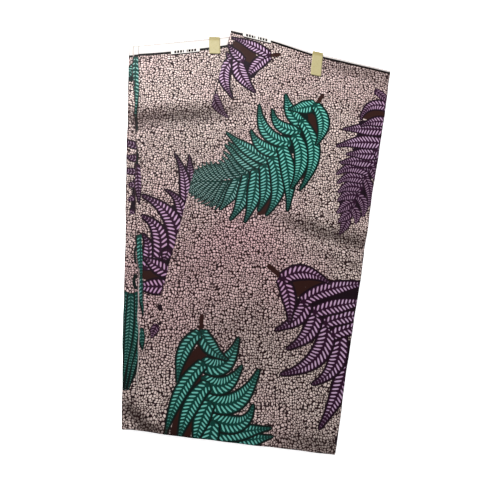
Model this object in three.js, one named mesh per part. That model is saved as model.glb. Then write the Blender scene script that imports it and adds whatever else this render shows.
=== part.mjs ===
// A six yard length of wax print cotton, folded selvedge to selvedge, then into a flat
// pile that is fanned about its lower left corner into two packets.
// Millimetres, +Z up. +Y runs up the packets to their selvedges, and Z = 0 is the table.

import * as THREE from 'three';
import { mergeVertices } from 'three/addons/utils/BufferGeometryUtils.js';

// ---- Driving dimensions ------------------------------------------------------------------

const PLY = 1.0; // wall of one ply that shows
const GAP = 0.3; // air between neighbouring pieces
const LOWER_FOLDS = 6.0; // height of the lower packet's hidden layers
const UPPER_FOLDS = 5.0; // height of the upper packet's hidden layers
const FOLD_LAYERS = 4; // rounded layers along the edge of each hidden pile
const FOLD_BULGE = 1.2; // how far such a layer rounds outwards
const FOLD_GROOVE = 0.3; // how far the groove between two of them stays out
const FOLD_INSET = 1.8; // the hidden layers stay this far inside the ply on them
const PLY_BULGE = 0.4; // rounding of a ply's edge

const DROP_START = 25; // the upper packet leaves the lower one this far beyond its edge
const DROP_LENGTH = 100; // and reaches the table over this length

const STICKER_WIDTH = 17;
const STICKER_WALL = 0.6;
const STICKER_GAP = 0.5; // the foil bridges the soft unevenness of the cloth
const STICKER_STEPS = 4;

const ROWS = 24; // grid rows up every packet
const LOWER_COLUMNS = 5;
const UPPER_COLUMNS = 14;

// Corners of each ply on the table plane, measured from the corner that the fan turns on.
const OUTLINES = {
  outer: { bottomLeft: [-6.5, -1.5], bottomRight: [172, 0], topRight: [149, 586], topLeft: [-29, 553] },
  middle: { bottomLeft: [16, 0.5], bottomRight: [171, 1], topRight: [149.5, 584.5], topLeft: [-21, 552] },
  top: { bottomLeft: [21.5, 1], bottomRight: [170, 2], topRight: [150, 583], topLeft: [-17.5, 551.5] },
  upper: { bottomLeft: [0, 0], bottomRight: [267, -34.5], topRight: [386.5, 538.5], topLeft: [128, 589] },
};

// Soft creases left by earlier folds: centre, turn in degrees, reach along and across, height.
const CREASES = [
  { x: 40, y: 447, turn: 7, along: 95, across: 20, rise: 1.1 },
  { x: 300, y: 262, turn: -13, along: 80, across: 20, rise: 0.9 },
];

// Foil stickers over the selvedge: middle of the upper end, turn in degrees, length.
const STICKERS = {
  lower: { x: 102, y: 576.5, turn: 2, length: 30 },
  upper: { x: 267.5, y: 564, turn: -7.5, length: 44 },
};

const COLOURS = { ground: 0xb49f99, shade: 0x8f7c76, teal: 0x1d6f62, foil: 0xb9ad62 };

// ---- Heights -----------------------------------------------------------------------------

const OUTER_BASE = LOWER_FOLDS + GAP;
const MIDDLE_BASE = OUTER_BASE + PLY + GAP;
const TOP_BASE = MIDDLE_BASE + PLY + GAP;
const LOWER_TOP = TOP_BASE + PLY;
const UPPER_BASE = LOWER_TOP + GAP;
const UPPER_PLY_BASE = UPPER_BASE + UPPER_FOLDS + GAP;

/** Height that the old folds add to the cloth at a place. */
function creaseRise(x, y) {
  return CREASES.reduce((sum, crease) => {
    const turn = THREE.MathUtils.degToRad(crease.turn);
    const dx = x - crease.x;
    const dy = y - crease.y;
    const along = (dx * Math.cos(turn) + dy * Math.sin(turn)) / crease.along;
    const across = (dy * Math.cos(turn) - dx * Math.sin(turn)) / crease.across;
    return sum + crease.rise * Math.exp(-(along ** 4) - across ** 2);
  }, 0);
}

/** Share of the way down to the table, from 0 on the lower packet to 1 beside it. */
function dropShare(x, y) {
  const { bottomRight, topRight } = OUTLINES.outer;
  const edge = new THREE.Vector2(topRight[0] - bottomRight[0], topRight[1] - bottomRight[1]).normalize();
  const beyond = (x - bottomRight[0]) * edge.y - (y - bottomRight[1]) * edge.x;
  return THREE.MathUtils.smoothstep(beyond, DROP_START, DROP_START + DROP_LENGTH);
}

/** A level of the lower packet, which follows the creases. */
const lowerLevel = (height) => (x, y) => height + creaseRise(x, y);

/** A level of the upper packet, which also comes down to the table beside the lower one. */
const upperLevel = (height) => (x, y) => height - UPPER_BASE * dropShare(x, y) + creaseRise(x, y);

const tableLevel = () => 0;

/** The upper packet's underside, which lies flat once it has reached the table. */
const upperUnderside = (x, y) => (UPPER_BASE + creaseRise(x, y)) * (1 - dropShare(x, y));

// ---- Folded sheets -----------------------------------------------------------------------

/** Place in a four-cornered outline, u across and v up. */
function placeIn(outline, u, v) {
  const low = new THREE.Vector2(...outline.bottomLeft).lerp(new THREE.Vector2(...outline.bottomRight), u);
  const high = new THREE.Vector2(...outline.topLeft).lerp(new THREE.Vector2(...outline.topRight), u);
  return low.lerp(high, v);
}

/** Rim profile of a pile: outward offset and share of the way down, one rounded layer after another. */
function rimProfile(layers, bulge, groove) {
  const profile = [];
  for (let layer = 0; layer < layers; layer += 1) {
    if (layer > 0) profile.push({ out: groove, down: layer / layers });
    profile.push({ out: bulge, down: (layer + 0.5) / layers });
  }
  return profile;
}

/** Grid indices once round the edge, anticlockwise seen from above. */
function edgeLoop(columns, rows) {
  const loop = [];
  for (let i = 0; i < columns; i += 1) loop.push([i, 0]);
  for (let j = 0; j < rows; j += 1) loop.push([columns, j]);
  for (let i = columns; i > 0; i -= 1) loop.push([i, rows]);
  for (let j = rows; j > 0; j -= 1) loop.push([0, j]);
  return loop;
}

/** Closed sheet or pile over an outline, with a rounded rim. */
function foldedSheet({ outline, columns, inset, layers, bulge, groove, over, under }) {
  const positions = [];
  const faces = [];
  const centre = placeIn(outline, 0.5, 0.5);
  const loop = edgeLoop(columns, ROWS);
  const addPoint = (x, y, z) => {
    positions.push(x, y, z);
    return positions.length / 3 - 1;
  };
  const addQuad = (a, b, c, d) => faces.push(a, b, c, a, c, d);

  /** Place of a grid point, drawn in from the outline by the inset and the rim's rounding. */
  const gridPlace = (i, j) => {
    const margin = inset + bulge;
    const width = placeIn(outline, 1, 0.5).distanceTo(placeIn(outline, 0, 0.5));
    const height = placeIn(outline, 0.5, 1).distanceTo(placeIn(outline, 0.5, 0));
    const u = THREE.MathUtils.lerp(margin / width, 1 - margin / width, i / columns);
    const v = THREE.MathUtils.lerp(margin / height, 1 - margin / height, j / ROWS);
    return placeIn(outline, u, v);
  };

  const surface = (level) => {
    const grid = [];
    for (let j = 0; j <= ROWS; j += 1) {
      const row = [];
      for (let i = 0; i <= columns; i += 1) {
        const place = gridPlace(i, j);
        row.push(addPoint(place.x, place.y, level(place.x, place.y)));
      }
      grid.push(row);
    }
    return grid;
  };

  const top = surface(over);
  const bottom = surface(under);
  for (let j = 0; j < ROWS; j += 1) {
    for (let i = 0; i < columns; i += 1) {
      addQuad(top[j][i], top[j][i + 1], top[j + 1][i + 1], top[j + 1][i]);
      addQuad(bottom[j][i], bottom[j + 1][i], bottom[j + 1][i + 1], bottom[j][i + 1]);
    }
  }

  /** Direction out of the sheet at a point of the loop. */
  const outward = (k) => {
    const before = gridPlace(...loop[(k + loop.length - 1) % loop.length]);
    const after = gridPlace(...loop[(k + 1) % loop.length]);
    const normal = new THREE.Vector2(after.y - before.y, before.x - after.x).normalize();
    const away = gridPlace(...loop[k]).sub(centre);
    return normal.dot(away) < 0 ? normal.negate() : normal;
  };

  const rings = [loop.map(([i, j]) => top[j][i])];
  for (const { out, down } of rimProfile(layers, bulge, groove)) {
    rings.push(loop.map(([i, j], k) => {
      const place = gridPlace(i, j);
      const z = THREE.MathUtils.lerp(over(place.x, place.y), under(place.x, place.y), down);
      place.addScaledVector(outward(k), out);
      return addPoint(place.x, place.y, z);
    }));
  }
  rings.push(loop.map(([i, j]) => bottom[j][i]));
  for (let r = 0; r + 1 < rings.length; r += 1) {
    for (let k = 0; k < loop.length; k += 1) {
      const next = (k + 1) % loop.length;
      addQuad(rings[r][k], rings[r + 1][k], rings[r + 1][next], rings[r][next]);
    }
  }
  return closedGeometry(positions, faces);
}

/** Foil strip laid over the cloth, square to the selvedge. */
function stickerStrip({ x, y, turn, length }, level) {
  const angle = THREE.MathUtils.degToRad(turn);
  const across = new THREE.Vector2(Math.cos(angle), Math.sin(angle));
  const down = new THREE.Vector2(Math.sin(angle), -Math.cos(angle));
  const positions = [];
  const faces = [];
  for (let step = 0; step <= STICKER_STEPS; step += 1) {
    const middle = new THREE.Vector2(x, y).addScaledVector(down, (length * step) / STICKER_STEPS);
    const left = middle.clone().addScaledVector(across, -STICKER_WIDTH / 2);
    const right = middle.clone().addScaledVector(across, STICKER_WIDTH / 2);
    for (const [place, lift] of [[left, 0], [right, 0], [right, STICKER_WALL], [left, STICKER_WALL]]) {
      positions.push(place.x, place.y, level(place.x, place.y) + STICKER_GAP + lift);
    }
  }
  const addQuad = (a, b, c, d) => faces.push(a, b, c, a, c, d);
  for (let step = 0; step < STICKER_STEPS; step += 1) {
    for (let side = 0; side < 4; side += 1) {
      const here = step * 4;
      const there = here + 4;
      const next = (side + 1) % 4;
      addQuad(here + side, here + next, there + next, there + side);
    }
  }
  addQuad(3, 2, 1, 0);
  const last = STICKER_STEPS * 4;
  addQuad(last, last + 1, last + 2, last + 3);
  return closedGeometry(positions, faces);
}

function closedGeometry(positions, faces) {
  const geometry = new THREE.BufferGeometry();
  geometry.setAttribute('position', new THREE.Float32BufferAttribute(positions, 3));
  geometry.setIndex(faces);
  return mergeVertices(geometry);
}

// ---- Pieces ------------------------------------------------------------------------------

function addPiece(group, name, geometry, colour, finish = {}) {
  const cotton = { color: colour, roughness: 0.85, metalness: 0 };
  const mesh = new THREE.Mesh(geometry, new THREE.MeshStandardMaterial({ ...cotton, ...finish }));
  mesh.name = name;
  group.add(mesh);
}

/** One ply that shows, its underside at the given level. */
function plySheet(outline, columns, levelOf, base) {
  return foldedSheet({
    outline,
    columns,
    inset: 0,
    layers: 1,
    bulge: PLY_BULGE,
    groove: 0,
    over: levelOf(base + PLY),
    under: levelOf(base),
  });
}

/** Hidden layers of a packet, one rounded pile. */
function foldPile(outline, columns, over, under) {
  return foldedSheet({
    outline,
    columns,
    inset: FOLD_INSET,
    layers: FOLD_LAYERS,
    bulge: FOLD_BULGE,
    groove: FOLD_GROOVE,
    over,
    under,
  });
}

function addLowerPacket(group) {
  const pile = foldPile(OUTLINES.outer, LOWER_COLUMNS, lowerLevel(LOWER_FOLDS), tableLevel);
  addPiece(group, 'lower_folds', pile, COLOURS.shade);
  const outer = plySheet(OUTLINES.outer, LOWER_COLUMNS, lowerLevel, OUTER_BASE);
  addPiece(group, 'lower_outer_ply', outer, COLOURS.teal);
  const middle = plySheet(OUTLINES.middle, LOWER_COLUMNS, lowerLevel, MIDDLE_BASE);
  addPiece(group, 'lower_middle_ply', middle, COLOURS.shade);
  const top = plySheet(OUTLINES.top, LOWER_COLUMNS, lowerLevel, TOP_BASE);
  addPiece(group, 'lower_top_ply', top, COLOURS.ground);
  const foil = stickerStrip(STICKERS.lower, lowerLevel(LOWER_TOP));
  addPiece(group, 'lower_sticker', foil, COLOURS.foil, { roughness: 0.35, metalness: 0.6 });
}

function addUpperPacket(group) {
  const pile = foldPile(OUTLINES.upper, UPPER_COLUMNS, upperLevel(UPPER_BASE + UPPER_FOLDS), upperUnderside);
  addPiece(group, 'upper_folds', pile, COLOURS.shade);
  const top = plySheet(OUTLINES.upper, UPPER_COLUMNS, upperLevel, UPPER_PLY_BASE);
  addPiece(group, 'upper_top_ply', top, COLOURS.ground);
  const foil = stickerStrip(STICKERS.upper, upperLevel(UPPER_PLY_BASE + PLY));
  addPiece(group, 'upper_sticker', foil, COLOURS.foil, { roughness: 0.35, metalness: 0.6 });
}

/** Moves every piece so that the origin is under the middle of the whole pile. */
function standOnOrigin(group) {
  const box = new THREE.Box3().setFromObject(group);
  const middle = box.getCenter(new THREE.Vector3());
  group.position.set(-middle.x, -middle.y, -box.min.z);
}

const cloth = new THREE.Group();
addLowerPacket(cloth);
addUpperPacket(cloth);
standOnOrigin(cloth);

export default cloth;
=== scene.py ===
import logging
import math
from dataclasses import astuple, dataclass, field
from enum import Enum
from typing import Callable, ClassVar

import bpy
import numpy as np
from mathutils import Matrix, Vector


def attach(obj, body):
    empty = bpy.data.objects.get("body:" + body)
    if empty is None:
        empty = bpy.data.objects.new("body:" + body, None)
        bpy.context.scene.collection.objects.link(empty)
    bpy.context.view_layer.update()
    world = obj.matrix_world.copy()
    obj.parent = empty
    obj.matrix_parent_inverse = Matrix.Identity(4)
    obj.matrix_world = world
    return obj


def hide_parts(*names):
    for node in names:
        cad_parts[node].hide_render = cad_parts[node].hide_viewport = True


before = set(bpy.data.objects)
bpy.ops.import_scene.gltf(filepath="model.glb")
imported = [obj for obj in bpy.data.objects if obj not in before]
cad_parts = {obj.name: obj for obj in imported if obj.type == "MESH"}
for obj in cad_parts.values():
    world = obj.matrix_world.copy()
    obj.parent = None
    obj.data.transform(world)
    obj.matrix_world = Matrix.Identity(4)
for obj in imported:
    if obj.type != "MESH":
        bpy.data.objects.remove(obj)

log = logging.getLogger("folded cloth")

Point = tuple[float, float]
Colour = tuple[float, float, float]
Level = Callable[[np.ndarray, np.ndarray], np.ndarray]

MM = 0.001
UV_UNIT = 100.0  # cloth millimetres in one unit of the cloth UV map
PIVOT = np.array([-178.75, -277.25])  # the corner that the fan turns on, in frame millimetres


# ---- Heights of the pile -----------------------------------------------------------------


@dataclass(frozen=True)
class Crease:
    """A soft ridge left by an earlier fold, in cloth millimetres."""

    x: float
    y: float
    turn: float
    along: float
    across: float
    rise: float

    def height(self, x: np.ndarray, y: np.ndarray) -> np.ndarray:
        """Ridge height: rise times exp(-(along share)^4 - (across share)^2).

        Args:
            x: places across the cloth.
            y: places up the cloth.

        Returns:
            Height in millimetres at each place.
        """
        angle = math.radians(self.turn)
        dx = x - self.x
        dy = y - self.y
        along = (dx * math.cos(angle) + dy * math.sin(angle)) / self.along
        across = (dy * math.cos(angle) - dx * math.sin(angle)) / self.across
        return self.rise * np.exp(-(along**4) - across**2)


def smooth(value: np.ndarray, low: float, high: float) -> np.ndarray:
    """Smoothstep of value from 0 at low to 1 at high, as 3t^2 - 2t^3."""
    share = np.clip((value - low) / (high - low), 0.0, 1.0)
    return share * share * (3.0 - 2.0 * share)


@dataclass(frozen=True)
class Lie:
    """How every layer lies: creases, soft ripples, and the way down beside the lower packet."""

    upper_base: float = 10.2
    edge_low: Point = (172.0, 0.0)
    edge_high: Point = (149.0, 586.0)
    drop_start: float = 25.0
    drop_length: float = 100.0
    ripples: tuple[tuple[float, ...], ...] = (  # height, length across and up, phase
        (0.21, 31.0, 57.0, 0.0),
        (0.168, -71.0, 23.0, 1.3),
        (0.105, 13.0, -37.0, 0.4),
    )
    creases: tuple[Crease, ...] = (
        Crease(40, 456, 7, 95, 13, 2.7),
        Crease(40, 426, 7, 90, 14, -0.9),
        Crease(287, 252, -14, 85, 10, -2.0),
        Crease(297, 277, -14, 80, 14, 1.4),
        Crease(335, 528, -11, 62, 8, -1.3),
        Crease(330, 505, -11, 60, 14, 0.8),
        Crease(150, 235, 12, 60, 12, 0.7),
        Crease(190, 130, -24, 70, 14, 0.6),
        Crease(60, 60, 75, 80, 18, 0.6),
    )
    # painted shade: darker patches in the cloth's colour along the creases, at the corners and bottom edges,
    # and broadly towards the bottom
    shades: tuple[Crease, ...] = (
        Crease(42, 437, 7, 92, 14, 0.6),
        Crease(284, 260, -14, 88, 12, 0.54),
        Crease(85, 262, 80, 80, 40, 0.1),
        Crease(70, 385, 5, 110, 55, 0.09),
        Crease(135, 140, 20, 70, 40, 0.08),
        Crease(338, 530, -11, 70, 15, 0.42),
        Crease(162, 106, -12, 60, 34, 0.14),
        Crease(12, 16, -42, 28, 9, 0.7),
        Crease(42, -1, -8, 24, 5, 0.6),
        Crease(286, 226, -17, 42, 5, 0.3),
        Crease(245, -22, -8, 60, 14, 0.5),
        Crease(190, 100, 0, 260, 220, 0.17),
    )
    glow: Crease = Crease(110, 215, 20, 130, 100, 1.0)

    def relief(self, x: np.ndarray, y: np.ndarray) -> np.ndarray:
        """Creases plus a few long sine ripples that all layers share, in millimetres."""
        waves = (rise * np.sin(x / across + y / up + phase) for rise, across, up, phase in self.ripples)
        return sum(crease.height(x, y) for crease in self.creases) + sum(waves)

    def shade(self, x: np.ndarray, y: np.ndarray) -> np.ndarray:
        """Painted shade: how much the cloth's colour is darkened along its creases, at its corners and bottom
        edges and towards the bottom, 0 to 0.8.
        """
        return np.clip(sum(patch.height(x, y) for patch in self.shades), 0.0, 0.8)

    def drop(self, x: np.ndarray, y: np.ndarray) -> np.ndarray:
        """Share of the way down to the table, a smoothstep of the distance past the lower packet."""
        run = np.subtract(self.edge_high, self.edge_low)
        run = run / np.linalg.norm(run)
        beyond = (x - self.edge_low[0]) * run[1] - (y - self.edge_low[1]) * run[0]
        return smooth(beyond, self.drop_start, self.drop_start + self.drop_length)

    def lower(self, height: float) -> Level:
        """A level of the lower packet, which follows the relief."""
        return lambda x, y: height + self.relief(x, y)

    def upper(self, height: float) -> Level:
        """A level of the upper packet, which also comes down to the table."""
        return lambda x, y: height - self.upper_base * self.drop(x, y) + self.relief(x, y)

    def upper_underside(self, x: np.ndarray, y: np.ndarray) -> np.ndarray:
        """Underside of the upper packet, flat once it has reached the table."""
        return (self.upper_base + self.relief(x, y)) * (1.0 - self.drop(x, y))


LIE = Lie()


# ---- Curves and leaf blades of the print --------------------------------------------------


@dataclass(frozen=True)
class Curve:
    """A smooth curve through a few points, read by share of its length."""

    points: tuple[Point, ...]
    steps: int = 24

    def at(self, shares: np.ndarray | float) -> np.ndarray:
        """Points of a Catmull-Rom curve, evenly spaced by arc length.

        Args:
            shares: one or more shares of the length, from 0 to 1.

        Returns:
            The points, last axis x and y.
        """
        knots = np.array(self.points, float)
        padded = np.vstack([2 * knots[0] - knots[1], knots, 2 * knots[-1] - knots[-2]])
        step = np.linspace(0.0, 1.0, self.steps, endpoint=False)[:, None]
        spans = []
        for a, b, c, d in zip(padded, padded[1:], padded[2:], padded[3:]):
            cubic = (3 * b - 3 * c + d - a) * step**3
            square = (2 * a - 5 * b + 4 * c - d) * step**2
            spans.append(0.5 * (2 * b + (c - a) * step + square + cubic))
        path = np.vstack(spans + [knots[-1:]])
        reach = np.concatenate([[0.0], np.cumsum(np.linalg.norm(np.diff(path, axis=0), axis=1))])
        wanted = np.asarray(shares) * reach[-1]
        return np.stack([np.interp(wanted, reach, path[:, k]) for k in (0, 1)], axis=-1)


class Dye(Enum):
    """Colour of a printed blade."""

    TEAL = 0.0
    PURPLE = 1.0
    BROWN = 2.0


class Outline(Enum):
    """Plan form of a blade along its spine."""

    LEAF = "leaf"
    LENS = "lens"
    BAR = "bar"


@dataclass(frozen=True)
class Blade:
    """One printed leaflet, eye or stalk: a spine with a half width that varies along it."""

    root: Point
    bend: Point
    tip: Point
    half_width: float
    dye: Dye
    pitch: float = 5.0
    fade: float = 0.0
    outline: Outline = Outline.LEAF
    steps: ClassVar[int] = 22
    crowding: ClassVar[float] = 0.5  # how much closer the dashes come towards the tip
    shoulder: ClassVar[float] = 0.86  # share of the half width at the root of a leaf
    taper: ClassVar[float] = 0.7  # share of the half width lost by the tip of a leaf
    tip_start: ClassVar[float] = 0.92  # share of the length where a leaf's end rounds off
    shrink: ClassVar[float] = 1.6  # half width lost per millimetre behind the root

    def spine(self) -> np.ndarray:
        """Points along a quadratic curve from root to tip that passes through the bend."""
        root, bend, tip = (np.array(p, float) for p in (self.root, self.bend, self.tip))
        control = 2.0 * bend - 0.5 * (root + tip)
        t = np.linspace(0.0, 1.0, self.steps)[:, None]
        return (1 - t) ** 2 * root + 2 * t * (1 - t) * control + t**2 * tip

    def width_at(self, share: np.ndarray) -> np.ndarray:
        """Half width: a leaf swells, tapers by a smoothstep and ends round, a lens is a sine."""
        q = np.clip(share, 0.0, 1.0)
        if self.outline is Outline.LENS:
            return self.half_width * np.sin(np.pi * q) ** 0.75
        if self.outline is Outline.BAR:
            return self.half_width * np.clip(np.minimum(q, 1 - q) * 14.0, 0.0, 1.0) ** 0.5
        swell = self.shoulder + (1.0 - self.shoulder) * smooth(q, 0.0, 0.3)
        taper = 1.0 - self.taper * smooth(q, 0.35, 1.0)
        end = np.sqrt(1.0 - np.clip((q - self.tip_start) / (1.0 - self.tip_start), 0.0, 1.0) ** 2)
        return self.half_width * swell * taper * end

    def measure(self, places: np.ndarray) -> np.ndarray:
        """Blade coordinates of places: along the spine, signed distance from it, half width there.

        Along is L ln(1.25 / (1.25 - c q)) / c at share q of the length L and crowding c, so that
        dashes spaced evenly in it come closer towards the tip. Behind the root the width shrinks.

        Args:
            places: points of the cloth in millimetres, one row each.

        Returns:
            Array with a row (along, aside, half width) for each place.
        """
        path = self.spine()
        start = path[:-1]
        run = np.diff(path, axis=0)
        length = np.linalg.norm(run, axis=1)
        reach = np.concatenate([[0.0], np.cumsum(length)])
        offset = places[:, None, :] - start[None]
        share = np.clip((offset * run).sum(-1) / length**2, 0.0, 1.0)
        away = offset - share[..., None] * run
        gap = np.linalg.norm(away, axis=-1)
        nearest = gap.argmin(axis=1)
        row = np.arange(len(places))
        side = run[nearest, 0] * offset[row, nearest, 1] - run[nearest, 1] * offset[row, nearest, 0]
        along = reach[nearest] + share[row, nearest] * length[nearest]
        aside = gap[row, nearest] * np.where(side < 0, -1.0, 1.0)
        q = along / reach[-1]
        spaced = reach[-1] * np.log(1.25 / (1.25 - self.crowding * q)) / self.crowding
        behind = -(offset[:, 0] * run[0]).sum(-1) / length[0]
        squash = self.shrink * np.clip(behind, 0.0, None) * (nearest == 0)
        return np.stack([spaced, aside, self.width_at(q) - squash], axis=-1)


def between(ends: tuple[float, float], share: float) -> float:
    """The number at a share of the way from the first end to the second."""
    return ends[0] + (ends[1] - ends[0]) * share


@dataclass(frozen=True)
class Fringe:
    """Fine leaflets along one side of a stem, their tips on one smooth curve.

    Each pair of values goes evenly from the first leaflet to the last. A bow is the bend's
    distance aside, as a share of the leaflet's length.
    """

    dye: Dye
    stem: tuple[Point, ...]
    tips: tuple[Point, ...]
    count: int
    roots: tuple[float, float]
    half_widths: tuple[float, float]
    bows: tuple[float, float]
    pitches: tuple[float, float]
    fades: tuple[float, float]
    reaches: tuple[float, ...] = (1.0,)
    bend_at: float = 0.59

    def blades(self) -> list[Blade]:
        """The leaflets, those nearest the end of the stem first."""
        made = []
        for index in range(self.count):
            share = index / (self.count - 1)
            root = Curve(self.stem).at(between(self.roots, share))
            run = (Curve(self.tips).at(share) - root) * self.reaches[index % len(self.reaches)]
            bend = root + run * self.bend_at + np.array([-run[1], run[0]]) * between(self.bows, share)
            ranges = (self.half_widths, self.pitches, self.fades)
            width, pitch, fade = (between(ends, share) for ends in ranges)
            made.append(Blade(tuple(root), tuple(bend), tuple(root + run), width, self.dye, pitch, fade))
        return made[::-1]


def eye(root: Point, bend: Point, tip: Point, width: float) -> Blade:
    """A plain brown lens."""
    return Blade(root, bend, tip, width, Dye.BROWN, pitch=0.0, outline=Outline.LENS)


def bar(root: Point, bend: Point, tip: Point, width: float, dye: Dye = Dye.BROWN) -> Blade:
    """A plain dark bar with rounded ends, for stalks and the ground between leaflets."""
    return Blade(root, bend, tip, width, dye, pitch=0.0, outline=Outline.BAR)


def stalk(points: tuple[Point, ...], width: float, dye: Dye) -> list[Blade]:
    """Four dark bars one after another along a smooth curve."""
    path = Curve(points).at(np.linspace(0.0, 1.0, 9))
    return [bar(*map(tuple, path[start : start + 3]), width, dye) for start in range(0, 8, 2)]


LEAF_MARGIN = 0.8  # dark margin outside a leaflet's width
TEAL, PURPLE = Dye.TEAL, Dye.PURPLE


def leaves(dye: Dye, pitch: float, rows: tuple[tuple, ...], finer: float = 0.0) -> list[Blade]:
    """Leaflets with dashes pitch - finer * fade apart.

    Args:
        dye: their colour.
        pitch: distance between two dashes where nothing is faded.
        rows: root, bend, tip, half width and fade of each, and its own pitch where it has one.
        finer: how much closer the dashes are on a wholly faded leaflet.

    Returns:
        The leaflets, in the same order.
    """
    made = []
    for root, bend, tip, width, fade, *own in rows:
        spacing = own[0] if own else pitch - finer * fade
        made.append(Blade(root, bend, tip, width + LEAF_MARGIN, dye, spacing, fade))
    return made


# ---- The fronds of each ply, in cloth millimetres and in painting order -------------------


def high_teal() -> list[Blade]:
    """The large teal frond near the middle of the upper packet, faded at its left end."""
    stem = ((259, 468), (233, 428), (211, 395), (173, 359), (132, 336), (84, 330))
    fine = {"roots": (0.79, 0.99), "half_widths": (5.8, 5.4), "pitches": (3.3, 3.0), "fades": (0.8, 0.95)}
    high_tips = ((106, 364), (96, 365), (82, 357), (68, 341))
    low_tips = ((98, 294), (88, 297), (74, 307), (65, 321))
    return [
        Blade((58, 328), (96, 330), (152, 342), 29.0, TEAL, 2.8, 0.95, Outline.LENS),
        bar((253, 460), (234, 426), (206, 388), 17.0, TEAL),
        bar((206, 388), (180, 364), (150, 344), 22.0, TEAL),
        eye((247, 458), (257, 430), (252, 396), 9.5),
        eye((242, 400), (244, 374), (232, 342), 7.0),
        eye((192, 330), (184, 306), (166, 284), 9.5),
        bar((273, 489), (267, 479), (259, 466), 3.2),
        *Fringe(TEAL, stem, high_tips, 8, bows=(0.12, 0.05), **fine).blades(),
        *Fringe(TEAL, stem, low_tips, 8, bows=(0.1, 0.05), **fine).blades(),
        *leaves(TEAL, 4.8, (
            ((134, 338), (123, 354), (110, 367), 6.5, 0.8), ((143, 340), (129, 358), (115, 373), 6.5, 0.7),
            ((152, 343), (136, 363), (117, 381), 7.0, 0.6), ((166, 352), (142, 372), (119, 392), 10.0, 0.4),
            ((175, 358), (146, 379), (124, 396), 9.5, 0.3), ((186, 367), (151, 387), (121, 412), 11.0, 0.15),
            ((201, 382), (173, 392), (158, 418), 11.0, 0), ((216, 401), (182, 414), (171, 461), 11.0, 0),
            ((232, 422), (202, 427), (191, 454), 10.5, 0), ((243, 434), (223, 447), (212, 482), 12.5, 0),
            ((122, 333), (112, 312), (99, 295), 5.5, 0.75), ((131, 334), (121, 312), (106, 290), 6.0, 0.6),
            ((139, 337), (130, 315), (113, 290), 9.5, 0.45), ((153, 343), (145, 306), (127, 275), 11.0, 0.15),
            ((166, 351), (161, 309), (148, 272), 11.5, 0), ((178, 360), (180, 324), (167, 289), 11.5, 0),
            ((190, 372), (197, 325), (178, 283), 12.0, 0), ((205, 391), (214, 341), (210, 291), 12.0, 0),
            ((225, 412), (234, 374), (216, 326), 12.0, 0), ((237, 438), (254, 386), (229, 325), 11.0, 0),
            ((259, 470), (237, 461), (215, 456), 11.5, 0, 4.6),
            ((260, 468), (271, 438), (257, 400), 11.0, 0, 4.6),
        ), finer=1.5),
    ]


def low_teal() -> list[Blade]:
    """The teal frond that the upper packet's bottom fold cuts off."""
    return [
        bar((96, 90), (106, 40), (124, -30), 21.0, TEAL),
        bar((92, 66), (78, 34), (66, -16), 13.0),
        eye((96, 112), (85, 82), (62, 48), 11.5),
        eye((95, 72), (76, 38), (56, -12), 8.0),
        bar((92, 144), (91, 132), (91, 116), 2.9),
        *leaves(TEAL, 4.6, (
            ((128, -14), (153, -14), (186, -10), 11.0, 0), ((112, -8), (147, -4), (184, 0), 11.5, 0),
            ((106, 11), (143, 6), (160, 30), 12.0, 0), ((100, 35), (138, 33), (168, 74), 13.0, 0),
            ((96, 60), (122, 53), (146, 79), 12.0, 0), ((94, 81), (121, 79), (141, 115), 12.5, 0),
            ((92, 120), (106, 98), (128, 84), 11.0, 0), ((108, 6), (104, -12), (98, -40), 12.0, 0),
            ((103, 30), (93, 8), (84, -24), 11.0, 0), ((100, 53), (79, 25), (64, -20), 11.0, 0),
            ((94, 79), (66, 43), (48, -12), 10.0, 0), ((88, 118), (69, 95), (62, 54), 9.6, 0),
        )),
    ]


def right_purple() -> list[Blade]:
    """The large purple frond at the right, low on the upper packet."""
    return [
        bar((214, 168), (254, 134), (284, 84), 21.0, PURPLE),
        bar((286, 110), (296, 60), (292, 20), 22.0, PURPLE),
        bar((240, 158), (280, 164), (340, 164), 27.0, PURPLE),
        bar((212, 190), (236, 194), (264, 188), 4.0, PURPLE),
        eye((204, 187), (236, 182), (283, 192), 16.0),
        bar((180, 213), (192, 203), (203, 193), 3.6),
        *leaves(PURPLE, 5.5, (
            ((302, 60), (292, 20), (268, -22), 13.0, 0), ((292, 92), (277, 46), (245, -4), 13.5, 0),
            ((281, 120), (271, 77), (237, 53), 13.5, 0), ((264, 138), (247, 89), (194, 66), 14.0, 0),
            ((248, 153), (237, 121), (203, 98), 12.0, 0), ((234, 171), (224, 143), (188, 123), 11.5, 0),
            ((272, 118), (296, 128), (334, 132), 10.5, 0), ((262, 134), (290, 143), (334, 148), 10.5, 0),
            ((247, 149), (282, 159), (334, 167), 11.3, 0), ((231, 163), (271, 182), (338, 192), 11.5, 0),
            ((200, 194), (210, 166), (209, 131), 11.5, 0), ((203, 194), (234, 204), (272, 189), 11.5, 0),
        )),
    ]


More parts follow.
